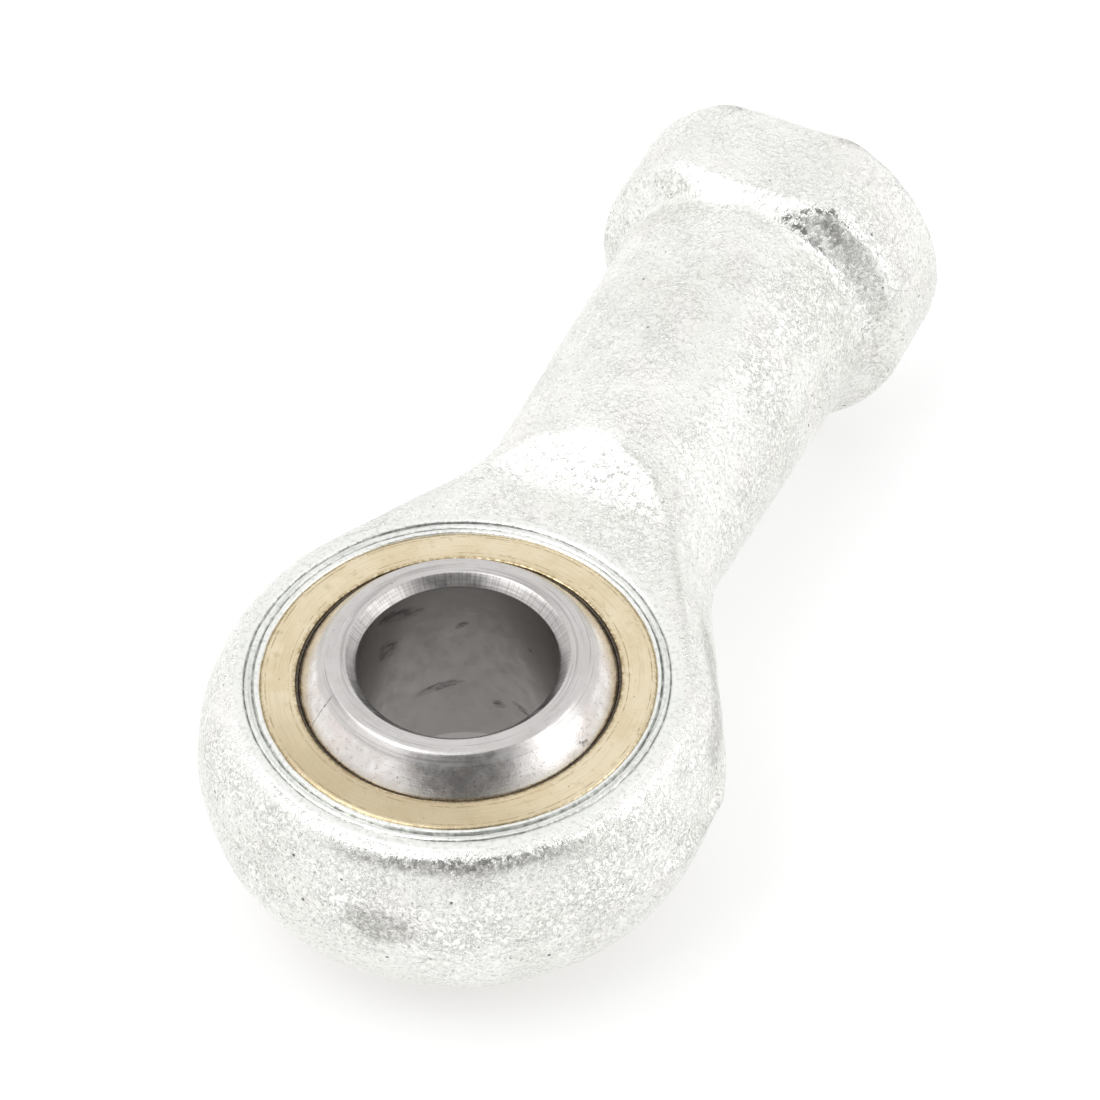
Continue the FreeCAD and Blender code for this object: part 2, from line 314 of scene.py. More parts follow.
def masks(p, n):
    """Where the skin is rubbed smooth, where its plating is dulled and where shade and reflections
    are painted on, and how strong its grain is.
    """
    x, y, z = p.T
    r = np.hypot(x, y)
    rho = np.hypot(x, z)
    side, cap = sides_and_faces(x, y, z)
    inner = np.minimum(side, cap)
    edge = np.exp(-(inner / RIM_ROUND) ** 2)
    ragged = 0.5 * noise(p, 1.1, 51) + 0.5 * noise(p, 0.5, 53)
    # dulled places and painted light: painted shade in the hollow under the collar, partly dirty
    # plating, painted shade along the crease at the neck's right edge, a painted reflection along
    # the front of the eye's rim, specks on the eye's right side, a worn spot in front, the trimmed
    # flash, and a painted reflection along the collar's end rim
    turn = np.degrees(np.arctan2(x, z))
    # painted shade in the hollow under the collar, together with dirty plating there
    start = 42.1 + 0.55 * np.clip((50 - turn) / 18, 0, 1)
    hollow = window(y + 0.25 * ragged - start, 0, 43.0 - start, 0.2) * (rho > SHANK_R - 0.3)
    hollow *= window(turn + 6 * ragged, 32, 74, 5) * np.clip(1.05 - 0.0125 * (turn - 30), 0.3, 1)
    # painted shade: a dark line along the crease at the neck's right edge
    crease = 0.62 * np.exp(-(inner / 0.17) ** 2) * window(y, 12, 19.5, 8) * (x > 1.5) * (z > 0)
    bearing = np.degrees(np.arctan2(x, -y))
    # painted reflection: a dark band along the front of the eye's upper rim
    rim = 0.8 * np.exp(-((r - 14.22 - 0.12 * ragged) / 0.17) ** 2) * window(bearing, 2, 47, 14)
    rim *= (z > 4.5) * (y < 0)
    specks = 0.5 * window(r, 15.2, 15.9, 0.3) * window(z, 2.0, 3.8, 0.8)
    specks *= window(y, 3.5, 11, 2) * (x > 0)
    spot = np.hypot((x - 2.3) / 2.4, (z - 1.25 + 0.1 * (x - 2.3)) / 1.4) + 0.12 * ragged
    spot = 0.62 * np.clip(3.2 - 3.2 * spot, 0, 1) * (y < -12.0)
    flash = 0.3 * (x > EYE_R + 0.12) * (np.abs(z) < 0.5)
    # painted reflection: a dark line along the rim of the collar's end
    end = 0.5 * window(y, END_Y - 0.5, END_Y - 0.1, 0.12) * (rho > COLLAR_R - 0.7)
    dull_and_shade = np.max([hollow * 0.55, crease, rim, specks, spot, flash, end], axis=0)
    # grain: strong on the sides, weak on the ramps and wrench flats
    grain = 0.85 + 0.75 * np.clip(1.15 - np.abs(n[:, 2]) * 1.25, 0, 1)
    # the sides facing -X get stronger dark grain: partly grain, partly painted shade that darkens
    # those sides
    grain += 0.7 * np.clip(-n[:, 0], 0, 1)
    ramp = (np.abs(n[:, 1]) > 0.3) & (np.abs(n[:, 2]) > 0.6) & (y > 14) & (y < 24)
    grain = np.where(ramp, 0.3, grain)
    grain = np.where((np.abs(z) > FLAT_Z - 0.25) & (y > COLLAR_Y - 1), 0.7, grain)
    chamfer = (np.abs(n[:, 2]) > 0.6) & (n[:, 1] < -0.3) & (y > 40.5) & (y < COLLAR_Y + 1)
    grain = np.where(chamfer, 0.25, grain)
    edge = np.where(chamfer, 0.7, edge)
    grain = grain * (1 - 0.6 * edge)
    return edge, dull_and_shade, grain


# smears on the bore wall: distance round the wall from +Y, height, half length, half height, lean
SMEARS = (
    (-6.5, 6.25, 2.1, 0.60, -0.29),
    (-7.6, 3.9, 1.0, 0.9, 0.0),
    (-2.57, 4.0, 0.50, 0.30, 0.5),
    (-4.1, -1.3, 1.8, 0.42, 0.15),
    (-0.44, -2.75, 0.50, 0.45, 0.0),
    (1.3, -2.4, 1.0, 0.32, -0.35),
    (1.96, 3.5, 0.22, 0.22, 0.0),
)


# marks on the upper side of the ball: ends in X and Y, half width
SCRATCHES = (
    ((9.14, -1.50, 8.98, -1.98), 0.13),
    ((9.02, -1.90, 8.80, -2.06), 0.10),
    ((-5.25, -5.85, -6.10, -7.05), 0.06),
)


# ---------------------------------------------------------------- mesh helpers
def mesh_object(name, points_mm, faces, material, angle=40.0):
    mesh = bpy.data.meshes.new(name)
    points = np.asarray(points_mm, float) * MM
    faces = np.asarray(faces, np.int32)
    mesh.vertices.add(len(points))
    mesh.vertices.foreach_set("co", points.ravel())
    mesh.loops.add(faces.size)
    mesh.loops.foreach_set("vertex_index", faces.ravel())
    mesh.polygons.add(len(faces))
    width = faces.shape[1]
    mesh.polygons.foreach_set("loop_start", np.arange(0, faces.size, width, dtype=np.int32))
    mesh.polygons.foreach_set("loop_total", np.full(len(faces), width, np.int32))
    mesh.update(calc_edges=True)
    mesh.validate()
    mesh.polygons.foreach_set("use_smooth", np.ones(len(mesh.polygons), bool))
    mesh.set_sharp_from_angle(angle=math.radians(angle))
    mesh.materials.append(material)
    made = bpy.data.objects.new(name, mesh)
    bpy.context.scene.collection.objects.link(made)
    return made


def lathe(name, outline, segments, material, wobble=0.0, angle=40.0):
    """Closed ring turned from a closed outline of (radius, height), counter-clockwise."""
    outline = np.array(outline, float)
    n = len(outline)
    turn = np.linspace(0, 2 * math.pi, segments, endpoint=False)
    r = np.repeat(outline[None, :, 0], segments, 0)
    h = np.repeat(outline[None, :, 1], segments, 0)
    c, s = np.cos(turn)[:, None], np.sin(turn)[:, None]
    p = np.stack([r * c, r * s, h], -1).reshape(-1, 3)
    if wobble:
        shift = wobble * (noise(p, 0.9, 31) + 0.6 * noise(p, 0.4, 37))
        radial = p.copy()
        radial[:, 2] = 0
        radial /= np.linalg.norm(radial, axis=1)[:, None]
        p = p + radial * shift[:, None]
        p[:, 2] += 0.5 * wobble * noise(p, 0.7, 41)
    i = np.arange(segments)[:, None]
    j = np.arange(n)[None, :]
    i2, j2 = (i + 1) % segments, (j + 1) % n
    faces = np.stack([i * n + j, i2 * n + j, i2 * n + j2, i * n + j2], -1).reshape(-1, 4)
    return mesh_object(name, p, faces, material, angle)


def arc(cx, cy, radius, start, end, count):
    a = np.radians(np.linspace(start, end, count))
    return [(cx + radius * math.cos(t), cy + radius * math.sin(t)) for t in a]


def mirrored(upper):
    """Outline of a ring from its upper half, given from the inner wall over the top to the outer."""
    return [(r, -h) for r, h in reversed(upper)] + list(upper)


# ---------------------------------------------------------------- materials
class Mat:
    """A node material with short helpers; coordinates are in millimetres."""

    def __init__(self, name, metallic, roughness, colour):
        self.mat = bpy.data.materials.new(name)
        self.mat.use_nodes = True
        self.tree = self.mat.node_tree
        self.bsdf = self.tree.nodes["Principled BSDF"]
        self.bsdf.inputs["Metallic"].default_value = metallic
        self.bsdf.inputs["Roughness"].default_value = roughness
        self.bsdf.inputs["Base Color"].default_value = (*colour, 1)
        coords = self.new("ShaderNodeTexCoord")
        scale = self.new("ShaderNodeVectorMath", operation="SCALE")
        scale.inputs["Scale"].default_value = 1000.0
        self.link(coords.outputs["Object"], scale.inputs[0])
        self.mm = scale.outputs[0]

    def new(self, kind, **settings):
        node = self.tree.nodes.new(kind)
        for key, value in settings.items():
            setattr(node, key, value)
        return node

    def link(self, a, b):
        self.tree.links.new(a, b)

    def put(self, target, value):
        if isinstance(value, (int, float)):
            target.default_value = value
        elif isinstance(value, tuple):
            target.default_value = value if len(value) == len(target.default_value) else (*value, 1)
        else:
            self.link(value, target)

    def math(self, op, a, b=0.0, c=0.0, clamp=False):
        node = self.new("ShaderNodeMath", operation=op, use_clamp=clamp)
        for i, v in enumerate((a, b, c)):
            self.put(node.inputs[i], v)
        return node.outputs[0]

    def layer(self, name):
        node = self.new("ShaderNodeAttribute")
        node.attribute_name = name
        return node.outputs["Fac"]

    def noise(self, size, detail=2.0, rough=0.5, vector=None, distort=0.0):
        node = self.new("ShaderNodeTexNoise")
        node.inputs["Scale"].default_value = 1.0 / size
        node.inputs["Detail"].default_value = detail
        node.inputs["Roughness"].default_value = rough
        node.inputs["Distortion"].default_value = distort
        self.link(vector or self.mm, node.inputs["Vector"])
        return node.outputs["Fac"]

    def cells(self, size, vector=None):
        node = self.new("ShaderNodeTexVoronoi")
        node.inputs["Scale"].default_value = 1.0 / size
        self.link(vector or self.mm, node.inputs["Vector"])
        return node.outputs["Distance"]

    def step(self, value, low, high, to_low=0.0, to_high=1.0, smooth=True):
        node = self.new("ShaderNodeMapRange")
        if smooth:
            node.interpolation_type = "SMOOTHSTEP"
        self.put(node.inputs["Value"], value)
        node.inputs["From Min"].default_value = low
        node.inputs["From Max"].default_value = high
        node.inputs["To Min"].default_value = to_low
        node.inputs["To Max"].default_value = to_high
        return node.outputs["Result"]

    def mix(self, fac, a, b):
        node = self.new("ShaderNodeMix", data_type="RGBA")
        self.put(node.inputs[0], fac)
        self.put(node.inputs[6], a)
        self.put(node.inputs[7], b)
        return node.outputs[2]

    def moved(self, vector, offset=(0, 0, 0), scale=(1, 1, 1)):
        node = self.new("ShaderNodeMapping")
        node.inputs["Location"].default_value = offset
        node.inputs["Scale"].default_value = scale
        self.link(vector, node.inputs["Vector"])
        return node.outputs[0]

    def turned(self, ring=1.0, height=1.0, sweep=0.02, vector=None):
        """Coordinates that follow lathe marks: radius, height and a little of the angle."""
        split = self.new("ShaderNodeSeparateXYZ")
        self.link(vector or self.mm, split.inputs[0])
        x, y, z = split.outputs
        squares = self.math("ADD", self.math("MULTIPLY", x, x), self.math("MULTIPLY", y, y))
        radius = self.math("SQRT", squares)
        join = self.new("ShaderNodeCombineXYZ")
        self.link(self.math("MULTIPLY", radius, ring), join.inputs[0])
        self.link(self.math("MULTIPLY", z, height), join.inputs[1])
        self.link(self.math("MULTIPLY", self.math("ARCTAN2", y, x), sweep), join.inputs[2])
        return join.outputs[0], radius, z

    def bump(self, height, distance, strength=1.0, before=None):
        node = self.new("ShaderNodeBump")
        node.inputs["Strength"].default_value = strength
        node.inputs["Distance"].default_value = distance * MM
        self.link(height, node.inputs["Height"])
        if before is not None:
            self.link(before, node.inputs["Normal"])
        return node.outputs["Normal"]

    def finish(self, colour=None, roughness=None, normal=None):
        if colour is not None:
            self.link(colour, self.bsdf.inputs["Base Color"])
        if roughness is not None:
            self.link(roughness, self.bsdf.inputs["Roughness"])
        if normal is not None:
            self.link(normal, self.bsdf.inputs["Normal"])
        return self.mat


def zinc_material():
    m = Mat("zinc_plated_forging", 0.95, 0.36, (0.86, 0.87, 0.84))
    edge = m.layer("edge")
    dull_and_shade = m.layer("dull_and_shade")
    strength = m.layer("grain")
    broad = m.noise(6.0, 3.0, 0.55)
    warm = m.noise(3.4, 2.0, 0.5, m.moved(m.mm, (31, 7, 13)))
    colour = m.mix(m.step(broad, 0.35, 0.65), (0.88, 0.885, 0.845), (0.95, 0.95, 0.92))
    colour = m.mix(m.math("MULTIPLY", m.step(warm, 0.50, 0.68), 0.32), colour, (0.93, 0.88, 0.86))
    # fine wormy forging grain, stronger in some places than in others
    patch = m.step(m.noise(4.5, 2.0, 0.6, m.moved(m.mm, (3, 17, 9))), 0.36, 0.62, 0.30, 1.0)
    lumps = m.noise(0.38, 3.0, 0.6, None, 0.8)
    ridge = m.math("ABSOLUTE", m.math("SUBTRACT", lumps, 0.5))
    vein = m.math("MULTIPLY", m.step(ridge, 0.0, 0.038, 1.0, 0.0), patch)
    vein = m.math("MULTIPLY", vein, m.math("MULTIPLY", strength, 0.58), clamp=True)
    colour = m.mix(vein, colour, (0.44, 0.445, 0.41))
    fine = m.noise(0.22, 2.0, 0.6)
    fleck = m.math("MULTIPLY", m.step(fine, 0.55, 0.68, 0.0, 0.46), strength, clamp=True)
    colour = m.mix(fleck, colour, (0.46, 0.465, 0.44))
    # faint forging lines round the eye
    rings, _, _ = m.turned(0.15, 1.0, 0.9)
    streak = m.noise(0.55, 3.0, 0.6, m.moved(rings, (0, 0, 0), (1.0, 1.0, 0.6)))
    colour = m.mix(m.step(streak, 0.56, 0.72, 0.0, 0.16), colour, (0.45, 0.455, 0.43))
    # dark pits
    pits = m.cells(1.5)
    chance = m.noise(2.6, 1.0, 0.5, m.moved(m.mm, (5, 51, 3)))
    pit = m.math("MULTIPLY", m.step(pits, 0.05, 0.09, 1.0, 0.0), m.step(chance, 0.48, 0.56))
    tiny = m.step(m.cells(0.8, m.moved(m.mm, (2, 3, 5))), 0.05, 0.10, 1.0, 0.0)
    small = m.math("MULTIPLY", tiny, m.step(m.noise(1.7, 1.0, 0.5), 0.46, 0.58))
    pit = m.math("MAXIMUM", pit, m.math("MULTIPLY", small, 0.7))
    pit = m.math("MULTIPLY", pit, m.math("MULTIPLY", strength, 0.75), clamp=True)
    colour = m.mix(pit, colour, (0.16, 0.16, 0.14))
    # dulled, dirty plating in rubbed places, with painted shade in the hollow under the collar and
    # along the neck's crease, and painted reflections along the eye's front rim and the collar's end
    flecks = m.step(m.noise(0.30, 3.0, 0.65, None, 0.8), 0.36, 0.60)
    flecks = m.math("ADD", m.math("MULTIPLY", flecks, 0.8), 0.20)
    dirt_and_shade = m.math("MULTIPLY", dull_and_shade, flecks, clamp=True)
    colour = m.mix(dirt_and_shade, colour, (0.215, 0.20, 0.18))
    rough = m.step(m.noise(0.8, 2.0, 0.6), 0.3, 0.7, 0.30, 0.46)
    rough = m.math("SUBTRACT", rough, m.math("MULTIPLY", edge, 0.17))
    spoiled = m.math("MAXIMUM", m.math("MAXIMUM", vein, fleck), pit)
    metal = m.math("SUBTRACT", 0.95, m.math("MULTIPLY", spoiled, 0.7))
    m.link(metal, m.bsdf.inputs["Metallic"])
    height = m.math("MULTIPLY", m.math("ADD", lumps, m.math("MULTIPLY", ridge, 0.9)),
                    m.step(patch, 0.3, 1.0, 0.5, 1.0, False))
    height = m.math("MULTIPLY", height, m.math("SUBTRACT", 1.0, m.math("MULTIPLY", edge, 0.45)))
    normal = m.bump(height, 0.21, 1.0)
    normal = m.bump(fine, 0.035, 1.0, normal)
    return m.finish(colour, rough, normal)


def lip_material():
    m = Mat("zinc_staked", 0.95, 0.30, (0.87, 0.88, 0.85))
    offset = m.moved(m.mm, (STAKE_SHIFT, 0, 0))
    rings, radius, _ = m.turned(1.0, 1.0, 0.35, offset)
    marks = m.noise(0.10, 2.0, 0.6, rings)
    grain = m.noise(0.30, 3.0, 0.6)
    colour = m.mix(m.step(grain, 0.34, 0.52, 0.42, 0.0), (0.90, 0.91, 0.88), (0.50, 0.51, 0.48))
    # darker lines along the rings the staking tool leaves, and painted shade in streaks on the band
    # between them
    broken = m.step(m.noise(0.55, 3.0, 0.7), 0.30, 0.62, 0.35, 1.0)
    from_inner = m.math("ABSOLUTE", m.math("SUBTRACT", radius, STAKE_IN))
    from_outer = m.math("ABSOLUTE", m.math("SUBTRACT", radius, STAKE_OUT))
    inner = m.step(from_inner, 0.02, 0.10, 1.0, 0.0)
    outer = m.step(from_outer, 0.02, 0.09, 1.0, 0.0)
    beyond_inner = m.step(radius, STAKE_IN, STAKE_IN + 0.1)
    within_outer = m.step(radius, STAKE_OUT - 0.12, STAKE_OUT, 1.0, 0.0)
    between = m.math("MULTIPLY", beyond_inner, within_outer)
    streak = m.noise(0.5, 4.0, 0.7, m.moved(rings, (0, 0, 0), (4.0, 1.0, 4.0)))
    streak = m.step(streak, 0.42, 0.62)
    line = m.math("MAXIMUM", inner, outer)
    line = m.math("MULTIPLY", line, broken)
    # painted shade: dark streaks on the band between the two rings
    line = m.math("MAXIMUM", line, m.math("MULTIPLY", m.math("MULTIPLY", between, streak), 0.42))
    colour = m.mix(m.math("MULTIPLY", line, 0.66), colour, (0.14, 0.145, 0.135))
    normal = m.bump(marks, 0.02, 1.0)
    normal = m.bump(grain, 0.035, 1.0, normal)
    return m.finish(colour, None, normal)


def brass_material():
    m = Mat("race_brass", 1.0, 0.30, (0.74, 0.63, 0.43))
    rings, radius, _ = m.turned(1.0, 1.0, 0.25)
    marks = m.noise(0.075, 2.0, 0.55, rings)
    stain = m.noise(2.2, 4.0, 0.6)
    colour = m.mix(m.step(stain, 0.35, 0.7), (0.83, 0.725, 0.53), (0.755, 0.64, 0.435))
    colour = m.mix(m.step(marks, 0.50, 0.66, 0.0, 0.35), colour, (0.55, 0.43, 0.24))
    smudge = m.step(m.noise(0.8, 4.0, 0.65, m.moved(m.mm, (6, 1, 2))), 0.56, 0.68, 0.0, 0.4)
    colour = m.mix(smudge, colour, (0.52, 0.45, 0.27))
    # browner where it has been handled, at the front
    split = m.new("ShaderNodeSeparateXYZ")
    m.link(m.mm, split.inputs[0])
    ragged = m.math("MULTIPLY", m.math("SUBTRACT", stain, 0.5), 6.0)
    handled = m.math("ADD", split.outputs[1], ragged)
    colour = m.mix(m.step(handled, -10.0, -5.5, 0.6, 0.0), colour, (0.50, 0.41, 0.26))
    # worn, dirty inner edge and a thin ring just inside the outer edge
    worn = m.step(m.noise(0.30, 3.0, 0.65), 0.36, 0.60)
    edge_in = m.step(radius, 9.66, 9.95, 1.0, 0.0)
    edge_out = m.step(radius, 11.50, 11.72)
    edges = m.math("MULTIPLY", m.math("MAXIMUM", edge_in, m.math("MULTIPLY", edge_out, 0.8)), worn)
    colour = m.mix(m.math("MULTIPLY", edges, 0.80), colour, (0.30, 0.21, 0.09))
    broken = m.step(m.noise(0.9, 3.0, 0.7), 0.38, 0.60)
    ring = m.step(m.math("ABSOLUTE", m.math("SUBTRACT", radius, 11.42)), 0.01, 0.06, 1.0, 0.0)
    ring_in = m.step(m.math("ABSOLUTE", m.math("SUBTRACT", radius, 10.08)), 0.01, 0.05, 1.0, 0.0)
    rings_dark = m.math("MULTIPLY", m.math("MAXIMUM", ring, ring_in), broken)
    colour = m.mix(m.math("MULTIPLY", rings_dark, 0.7), colour, (0.32, 0.23, 0.10))
    pits = m.step(m.cells(0.62), 0.04, 0.10, 1.0, 0.0)
    chance = m.step(m.noise(0.9, 1.0, 0.5, m.moved(m.mm, (9, 2, 4))), 0.54, 0.62)
    pits = m.math("MULTIPLY", m.math("MULTIPLY", pits, chance), 0.8)
    colour = m.mix(pits, colour, (0.22, 0.15, 0.07))
    rough = m.step(m.noise(0.5, 3.0, 0.6), 0.3, 0.7, 0.24, 0.38)
    normal = m.bump(marks, 0.008, 1.0)
    normal = m.bump(m.noise(0.3, 3.0, 0.6), 0.012, 1.0, normal)
    return m.finish(colour, rough, normal)


def liner_material():
    m = Mat("ptfe_fabric", 0.0, 0.62, (0.17, 0.125, 0.075))
    weave = m.noise(0.16, 2.0, 0.5)
    colour = m.mix(m.step(weave, 0.35, 0.65), (0.05, 0.038, 0.025), (0.12, 0.09, 0.055))
    return m.finish(colour, None, m.bump(weave, 0.02, 1.0))


def ball_material():
    m = Mat("polished_steel", 1.0, 0.2, (0.66, 0.64, 0.62))
    rings, radius, z = m.turned(1.0, 1.0, 0.15)
    split = m.new("ShaderNodeSeparateXYZ")
    m.link(m.mm, split.inputs[0])
    x, y, _ = split.outputs
    marks = m.noise(0.09, 2.0, 0.6, rings)
    film = m.noise(1.9, 5.0, 0.65, None, 0.5)
    colour = m.mix(m.step(film, 0.34, 0.66), (0.90, 0.87, 0.85), (0.71, 0.675, 0.65))
    tint = m.noise(1.3, 2.0, 0.6, m.moved(m.mm, (14, 6, 2)))
    colour = m.mix(m.step(tint, 0.48, 0.66, 0.0, 0.5), colour, (0.70, 0.62, 0.58))
    dust = m.noise(0.28, 3.0, 0.7)
    colour = m.mix(m.step(dust, 0.55, 0.68, 0.0, 0.55), colour, (0.42, 0.385, 0.365))
    # turned faces and chamfers
    top = m.step(m.math("ABSOLUTE", z), 7.2, 7.5)
    colour = m.mix(m.math("MULTIPLY", top, 0.75), colour, (0.56, 0.545, 0.54))
    turned = m.step(m.noise(0.13, 2.0, 0.7, rings), 0.50, 0.64, 0.0, 0.6)
    colour = m.mix(m.math("MULTIPLY", top, turned), colour, (0.36, 0.345, 0.34))
    # chamfer, cut across its own width by a chattering tool
    chamfer = m.math("MULTIPLY", top, m.step(radius, 6.6, 6.7, 1.0, 0.0))
    around = m.math("MULTIPLY", m.math("ARCTAN2", x, y), 6.3)
    join = m.new("ShaderNodeCombineXYZ")
    m.link(around, join.inputs[0])
    chatter = m.step(m.noise(0.16, 2.0, 0.6, join.outputs[0]), 0.42, 0.62, 0.10, 0.55)
    colour = m.mix(m.math("MULTIPLY", chamfer, chatter), colour, (0.25, 0.24, 0.235))
    # brassy film rubbed on where the race runs
    rubbed = m.step(m.math("ABSOLUTE", z), 5.9, 6.6, 0.5, 0.0)
    colour = m.mix(rubbed, colour, (0.47, 0.43, 0.35))
    # bore wall, with painted shade darkening it all, dry smears where the pin sat, and a lighter
    # band at the lower end painted as the floor seen through the bore
    # painted shade: the whole bore wall darkened
    wall = m.step(radius, 6.02, 6.06, 1.0, 0.0)
    colour = m.mix(m.math("MULTIPLY", wall, 0.92), colour, (0.285, 0.272, 0.265))
    # painted light: a lighter band at the wall's lower end, standing for the floor seen through the
    # bore
    floor_glimpse = m.math("MULTIPLY", wall, m.step(z, -5.85, -5.70, 1.0, 0.0))
    colour = m.mix(m.math("MULTIPLY", floor_glimpse, 0.8), colour, (0.47, 0.455, 0.445))
    ragged = m.noise(0.40, 4.0, 0.7, m.moved(m.mm, (3, 8, 0), (0.5, 0.5, 2.2)), 0.6)
    ragged = m.step(ragged, 0.44, 0.62)
    smears = 0.0
    along = m.math("MULTIPLY", m.math("ARCTAN2", x, y), BORE_R)
    for along0, z0, long, high, lean in SMEARS:
        dx = m.math("SUBTRACT", along, along0)
        dz = m.math("ADD", m.math("SUBTRACT", z, z0), m.math("MULTIPLY", dx, -lean))
        u = m.math("DIVIDE", dx, long)
        v = m.math("DIVIDE", dz, high)
        far = m.math("ADD", m.math("MULTIPLY", u, u), m.math("MULTIPLY", v, v))
        smears = m.math("MAXIMUM", smears, m.step(far, 0.2, 1.0, 1.0, 0.0))
    smears = m.math("MULTIPLY", smears, m.math("ADD", m.math("MULTIPLY", ragged, 0.72), 0.2))
    colour = m.mix(m.math("MULTIPLY", wall, smears), colour, (0.09, 0.085, 0.085))
    # a nick and a scratch on the ball beside the turned face, and scattered smaller nicks
    uneven = m.step(m.noise(0.20, 3.0, 0.7), 0.36, 0.60, 0.05, 0.8)
    for (ax, ay, bx, by), wide in SCRATCHES:
        length = math.hypot(bx - ax, by - ay)
        ux, uy = (bx - ax) / length, (by - ay) / length
        px = m.math("SUBTRACT", x, (ax + bx) / 2)
        py = m.math("SUBTRACT", y, (ay + by) / 2)
        run = m.math("ADD", m.math("MULTIPLY", px, ux), m.math("MULTIPLY", py, uy))
        off = m.math("SUBTRACT", m.math("MULTIPLY", py, ux), m.math("MULTIPLY", px, uy))
        off = m.math("ABSOLUTE", off)
        within = m.step(m.math("ABSOLUTE", run), length * 0.4, length * 0.55, 1.0, 0.0)
        mark = m.math("MULTIPLY", m.step(off, wide * 0.5, wide, 1.0, 0.0), within)
        mark = m.math("MULTIPLY", mark, m.step(z, 4.5, 5.0))
        colour = m.mix(m.math("MULTIPLY", mark, uneven), colour, (0.13, 0.11, 0.10))
    pits = m.step(m.cells(1.15, m.moved(m.mm, (4, 1, 7))), 0.03, 0.07, 1.0, 0.0)
    chance = m.step(m.noise(2.3, 1.0, 0.5, m.moved(m.mm, (1, 21, 4))), 0.54, 0.60)
    pits = m.math("MULTIPLY", m.math("MULTIPLY", pits, chance), 0.8)
    colour = m.mix(pits, colour, (0.12, 0.10, 0.09))
    rough = m.step(m.noise(1.2, 4.0, 0.65), 0.32, 0.7, 0.16, 0.30)
    rough = m.math("ADD", rough, m.math("MULTIPLY", top, 0.10))
    rough = m.math("ADD", rough, m.math("MULTIPLY", chamfer, 0.03))
    rough = m.math("ADD", rough, m.math("MULTIPLY", wall, 0.12))
    normal = m.bump(marks, 0.0045, 1.0)
    hair = m.noise(0.22, 3.0, 0.6, m.moved(m.mm, (2, 5, 9), (0.12, 1.0, 1.0)), 0.4)
    normal = m.bump(hair, 0.004, 1.0, normal)
    normal = m.bump(dust, 0.006, 1.0, normal)
    return m.finish(colour, rough, normal)


def floor_material():
    m = Mat("white_sweep", 0.0, 0.9, (0.48, 0.48, 0.48))
    m.bsdf.inputs["Emission Color"].default_value = (1, 1, 1, 1)
    m.bsdf.inputs["Emission Strength"].default_value = 0.56
    return m.finish()


# ---------------------------------------------------------------- pieces
def build_housing(material):
    points, quads = surface_nets(HOUSING_STEP)
    for _ in range(3):
        g = gradient(points)
        length2 = np.maximum((g * g).sum(1), 0.25)
        points -= g * np.clip(housing_distance(*points.T) / length2, -0.1, 0.1)[:, None]
    n = gradient(points, 0.05)
    n /= np.maximum(np.linalg.norm(n, axis=1), 1e-6)[:, None]
    layers = masks(points, n)
    points = points + n * relief(points, n)[:, None]
    made = mesh_object("housing", points, quads, material, 60.0)
    for name, values in zip(("edge", "dull_and_shade", "grain"), layers):
        layer = made.data.attributes.new(name, "FLOAT", "POINT")
        layer.data.foreach_set("value", values.astype(np.float32))
    return made


def build_lips(sign, material):
    """The band of the eye's face that the staking tool has pressed over the race."""
    top = [
        (11.72, 5.84), (11.75, 5.95), (11.82, 6.03), (11.92, 6.05), (12.02, 6.02),
        (STAKE_IN - 0.07, 5.93), (STAKE_IN, 5.83), (STAKE_IN + 0.06, 5.90), (12.30, 5.96),
        (12.46, 5.965), (STAKE_OUT - 0.07, 5.93), (STAKE_OUT, 5.86), (STAKE_OUT + 0.07, 5.96),
        (12.80, 6.02), (12.95, 6.035), (13.20, 6.035), (13.36, 6.0), (13.44, 5.93),
    ]
    outline = [(11.75, 5.7), (12.2, 5.0), (13.1, 5.0), (13.4, 5.8)]
    closed = list(reversed(top)) + outline
    closed = [(r, sign * h) for r, h in closed]
    if sign < 0:
        closed = closed[::-1]
    name = "staked_lip_top" if sign > 0 else "staked_lip_bottom"
    made = lathe(name, closed, 400, material, wobble=0.020)
    # the tool wasn't quite central on the race
    for v in made.data.vertices:
        r = math.hypot(v.co.x, v.co.y) / MM
        v.co.x -= STAKE_SHIFT * MM * max(0.0, 1.0 - abs(r - 12.4) / 0.55) ** 0.5
    return made


def build_race(material):
    lower = math.degrees(math.asin(5.90 / RACE_SPHERE_R))
    inner = arc(0, 0, RACE_SPHERE_R, 0, lower, 18)
    edge = [(9.66, 5.955), (9.71, 5.99), (9.79, 6.0)]
    face = [(r, 6.0) for r in np.linspace(9.95, 11.45, 12)]
    rim = [(11.56, 5.985), (11.66, 5.94), (11.72, 5.87), (12.72, 4.9)]
    upper = inner[1:] + edge + face + rim
    outline = mirrored(upper)
    return lathe("race_ring", outline[::-1], 360, material, wobble=0.012)


def build_liner(material):
    a = math.degrees(math.asin(LINER_HALF / LINER_INSIDE_R))
    b = math.degrees(math.asin(LINER_HALF / RACE_SPHERE_R))
    inner = arc(0, 0, LINER_INSIDE_R, -a, a, 40)
    outer = arc(0, 0, RACE_SPHERE_R, b, -b, 40)
    return lathe("liner", (inner + outer)[::-1], 256, material)


